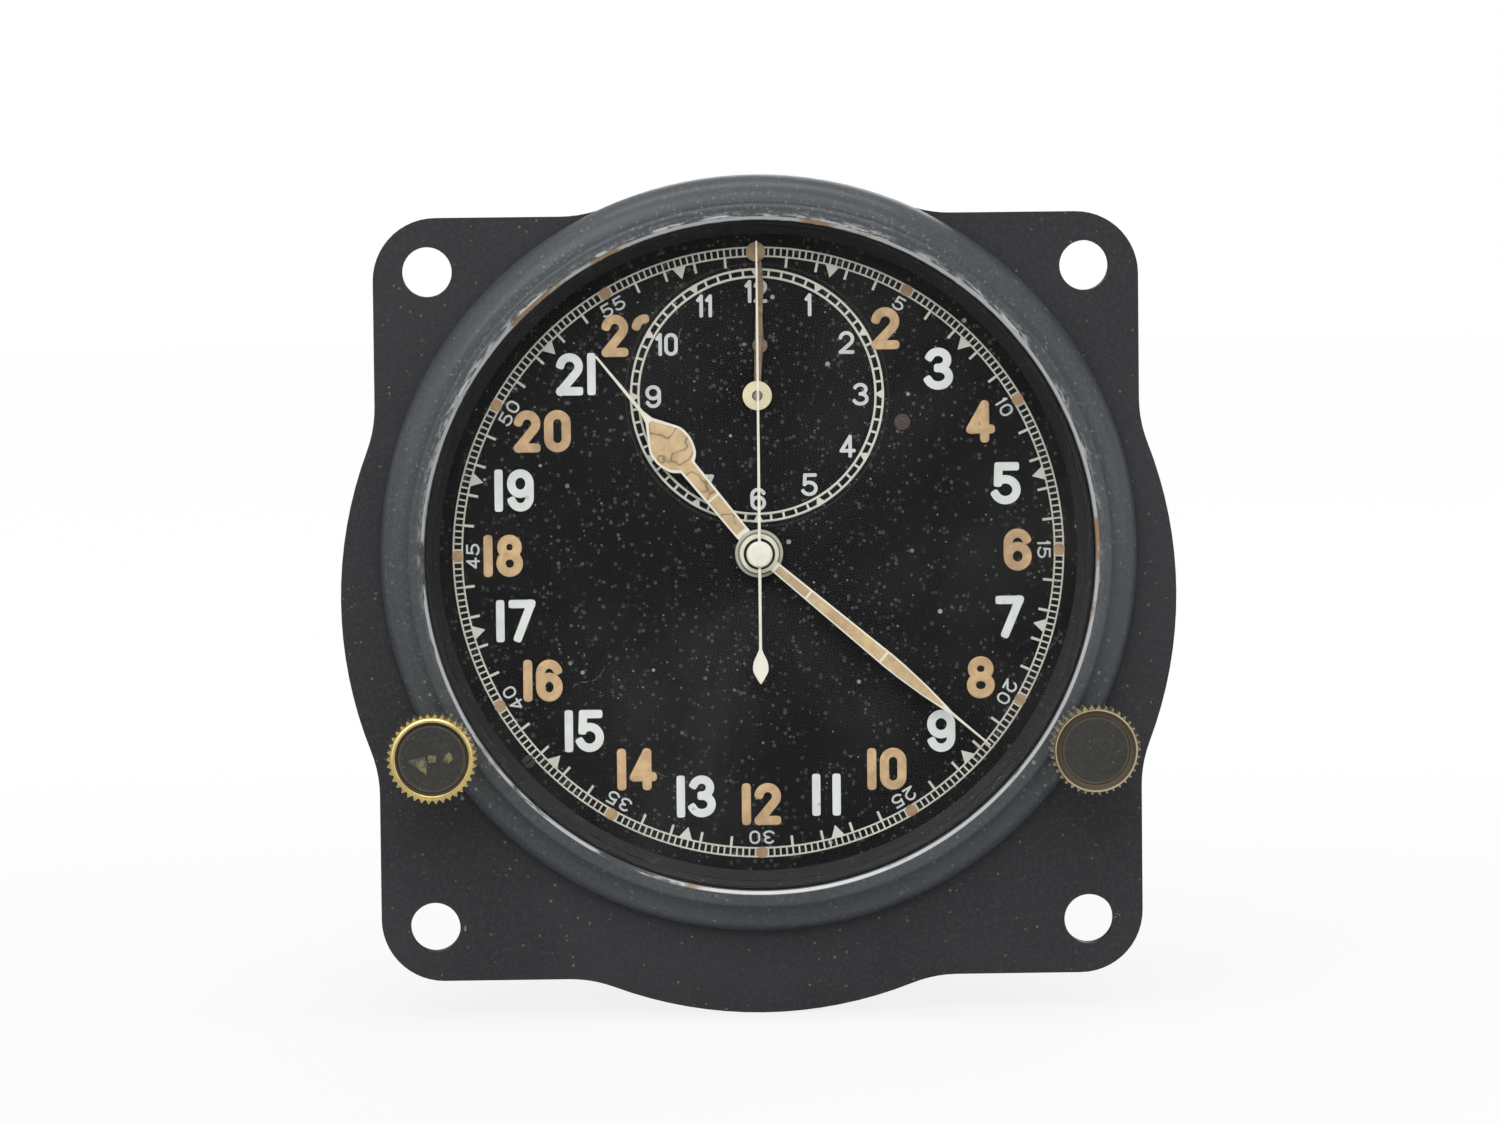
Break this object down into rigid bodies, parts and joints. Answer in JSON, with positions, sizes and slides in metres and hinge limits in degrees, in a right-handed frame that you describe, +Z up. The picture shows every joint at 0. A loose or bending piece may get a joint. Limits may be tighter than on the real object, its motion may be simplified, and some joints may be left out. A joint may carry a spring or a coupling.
{
  "type": "aircraft panel clock",
  "caption": "Aircraft panel clock: round black case behind an eared flange, glazed dial with hour, minute, sweep and elapsed-time hands, and reeded knobs.",
  "frame": {"origin": "middle of the panel bolt holes on the rear face of the flange", "axes": "+X to the right seen from the front, +Y to the rear through the panel, +Z up to the top of the dial"},
  "size_m": [0.0802, 0.0514, 0.0805],
  "materials": {
    "case_black": "matt black paint, dusty, chipped at the edges",
    "bezel_black": "semi-gloss black paint, rubbed on the lip",
    "clear_glass": "flat clear glass",
    "gasket_rubber": "dark sealing ring",
    "surround_grey": "dull dark grey paint",
    "dial_black": "dull black paint with dust",
    "rivet_brown": "dull brown riveted end",
    "hand_white": "white paint with aged luminous fill",
    "movement_brass": "bright brass",
    "knob_brass": "worn gilt brass, reeded",
    "knob_face": "dark olive-black paint, rubbed",
    "steel": "turned steel",
    "spring_steel": "blue-grey spring steel",
    "blued_steel": "blued steel",
    "ruby": "polished red jewel"
  },
  "bodies": {
    "case": {"case_body": "case_black", "back_cover": "case_black", "back_gasket": "gasket_rubber", "back_screws": "steel", "bezel": "bezel_black", "glass": "clear_glass", "glass_gasket": "gasket_rubber", "dial_surround": "surround_grey", "dial": "dial_black", "dial_feet": "rivet_brown", "front_plate": "movement_brass", "rear_plate": "movement_brass", "plate_pillars": "movement_brass", "plate_screws": "blued_steel", "movement_screws": "steel", "jewels": "ruby", "balance_cock": "movement_brass", "trip_bridge": "movement_brass", "stem_bushes": "movement_brass", "wheel_posts": "steel", "click_spring": "spring_steel", "push_spring": "spring_steel", "hairspring": "spring_steel"},
    "barrel": {"barrel": "movement_brass", "barrel_cover": "movement_brass", "mainspring": "spring_steel"},
    "barrel_arbor": {"barrel_arbor": "steel", "ratchet_wheel": "steel", "ratchet_screw": "blued_steel"},
    "click": {"click": "steel"},
    "winding_wheel": {"winding_wheel": "steel"},
    "setting_yoke": {"setting_yoke": "steel"},
    "winding_stem": {"winding_stem": "steel", "winding_knob": "knob_brass", "winding_knob_face": "knob_face"},
    "setting_wheel": {"setting_wheel": "movement_brass"},
    "centre_wheel": {"centre_wheel": "movement_brass"},
    "third_wheel": {"third_wheel": "movement_brass"},
    "fourth_wheel": {"fourth_wheel": "movement_brass"},
    "escape_wheel": {"escape_wheel": "movement_brass"},
    "pallet_lever": {"pallet_lever": "steel"},
    "balance": {"balance_wheel": "movement_brass", "balance_staff": "steel"},
    "minute_hand": {"cannon_pinion": "steel", "minute_hand": "hand_white"},
    "minute_wheel": {"minute_wheel": "movement_brass"},
    "hour_hand": {"hour_wheel": "movement_brass", "hour_hand": "hand_white"},
    "sweep_hand": {"sweep_arbor": "steel", "sweep_hand": "hand_white"},
    "trip_idler": {"trip_idler": "movement_brass"},
    "trip_minute_hand": {"trip_arbor": "steel", "trip_minute_hand": "hand_white"},
    "trip_motion_wheel": {"trip_motion_wheel": "movement_brass"},
    "trip_hour_hand": {"trip_hour_wheel": "movement_brass", "trip_hour_hand": "hand_white"},
    "push_knob": {"push_stem": "steel", "push_knob": "knob_brass", "push_knob_face": "knob_face"},
    "reset_lever": {"reset_lever": "steel"}
  },
  "joints": [
    {"name": "escape_turn", "type": "hinge", "parent": "case", "child": "escape_wheel", "pos_m": [0.00649, 0.0123, -0.01521], "axis": [0, 1, 0], "continuous": true},
    {"name": "fourth_turn", "type": "hinge", "parent": "case", "child": "fourth_wheel", "pos_m": [0.01045, 0.0106, -0.00835], "axis": [0, 1, 0], "continuous": true},
    {"name": "third_turn", "type": "hinge", "parent": "case", "child": "third_wheel", "pos_m": [0.00897, 0.0086, 0.00002], "axis": [0, 1, 0], "continuous": true},
    {"name": "centre_turn", "type": "hinge", "parent": "case", "child": "centre_wheel", "pos_m": [0, 0.0125, 0.0042], "axis": [0, 1, 0], "continuous": true},
    {"name": "barrel_turn", "type": "hinge", "parent": "case", "child": "barrel", "pos_m": [-0.01101, 0.0067, -0.00351], "axis": [0, 1, 0], "continuous": true},
    {"name": "minute_turn", "type": "hinge", "parent": "case", "child": "minute_hand", "pos_m": [0, -0.003, 0.0042], "axis": [0, 1, 0], "continuous": true},
    {"name": "minute_wheel_turn", "type": "hinge", "parent": "case", "child": "minute_wheel", "pos_m": [-0.0072, 0.0027, 0.0042], "axis": [0, 1, 0], "continuous": true},
    {"name": "hour_turn", "type": "hinge", "parent": "case", "child": "hour_hand", "pos_m": [0, -0.0022, 0.0042], "axis": [0, 1, 0], "continuous": true},
    {"name": "setting_turn", "type": "hinge", "parent": "case", "child": "setting_wheel", "pos_m": [-0.01939, 0.0027, -0.00839], "axis": [0, 1, 0], "continuous": true},
    {"name": "winding_turn", "type": "hinge", "parent": "setting_yoke", "child": "winding_stem", "pos_m": [-0.03127, -0.012, -0.01414], "axis": [0, 1, 0], "continuous": true},
    {"name": "winding_wheel_turn", "type": "hinge", "parent": "case", "child": "winding_wheel", "pos_m": [-0.02236, 0.016, -0.01229], "axis": [0, 1, 0], "continuous": true},
    {"name": "arbor_turn", "type": "hinge", "parent": "case", "child": "barrel_arbor", "pos_m": [-0.01101, 0.016, -0.00351], "axis": [0, 1, 0], "continuous": true},
    {"name": "sweep_turn", "type": "hinge", "parent": "case", "child": "sweep_hand", "pos_m": [0, -0.004, 0.0042], "axis": [0, 1, 0], "continuous": true},
    {"name": "idler_turn", "type": "hinge", "parent": "case", "child": "trip_idler", "pos_m": [-0.00368, 0.0165, 0.01202], "axis": [0, 1, 0], "continuous": true},
    {"name": "trip_minute_turn", "type": "hinge", "parent": "case", "child": "trip_minute_hand", "pos_m": [0, -0.00175, 0.0193], "axis": [0, 1, 0], "continuous": true},
    {"name": "trip_motion_turn", "type": "hinge", "parent": "case", "child": "trip_motion_wheel", "pos_m": [0.0048, 0.0027, 0.0193], "axis": [0, 1, 0], "continuous": true},
    {"name": "trip_hour_turn", "type": "hinge", "parent": "case", "child": "trip_hour_hand", "pos_m": [0, -0.0014, 0.0193], "axis": [0, 1, 0], "continuous": true},
    {"name": "setting_pull", "type": "slide", "parent": "case", "child": "setting_yoke", "axis": [0, -1, 0], "range_m": [0, 0.002]},
    {"name": "push", "type": "slide", "parent": "case", "child": "push_knob", "axis": [0, 1, 0], "range_m": [0, 0.002], "stiffness_N_per_m": 500, "springref_m": -0.004, "deforming": ["push_spring"]},
    {"name": "reset_swing", "type": "hinge", "parent": "case", "child": "reset_lever", "pos_m": [0.0205, 0.0191, 0.0043], "axis": [0, 1, 0], "range_deg": [0, 1.25]},
    {"name": "lever_swing", "type": "hinge", "parent": "case", "child": "pallet_lever", "pos_m": [0.00196, 0.0123, -0.01601], "axis": [0, 1, 0], "range_deg": [-5, 5]},
    {"name": "balance_swing", "type": "hinge", "parent": "case", "child": "balance", "pos_m": [-0.00356, 0.0167, -0.01698], "axis": [0, 1, 0], "range_deg": [-220, 220], "stiffness_Nm_per_rad": 0.0000025, "deforming": ["hairspring"]},
    {"name": "click_lift", "type": "hinge", "parent": "case", "child": "click", "pos_m": [-0.01519, 0.0161, 0.00546], "axis": [0, -1, 0], "range_deg": [0, 8], "stiffness_Nm_per_rad": 0.00005, "springref_deg": -17.19}
  ],
  "couplings": [
    {"joint": "fourth_turn", "follows": "escape_turn", "ratio": -0.1},
    {"joint": "third_turn", "follows": "escape_turn", "ratio": 0.013333},
    {"joint": "centre_turn", "follows": "escape_turn", "ratio": -0.0016667},
    {"joint": "barrel_turn", "follows": "escape_turn", "ratio": 0.0002381},
    {"joint": "minute_wheel_turn", "follows": "minute_turn", "ratio": -0.25},
    {"joint": "hour_turn", "follows": "minute_turn", "ratio": 0.041667},
    {"joint": "setting_turn", "follows": "minute_turn", "ratio": 0.12245},
    {"joint": "winding_wheel_turn", "follows": "winding_turn", "ratio": -0.3},
    {"joint": "arbor_turn", "follows": "winding_turn", "ratio": 0.28571},
    {"joint": "idler_turn", "follows": "sweep_turn", "ratio": -0.125},
    {"joint": "trip_minute_turn", "follows": "sweep_turn", "ratio": 0.016667},
    {"joint": "trip_motion_turn", "follows": "sweep_turn", "ratio": -0.0055556},
    {"joint": "trip_hour_turn", "follows": "sweep_turn", "ratio": 0.0013889},
    {"joint": "reset_swing", "follows": "push", "rad_per_m": 10.405}
  ]
}
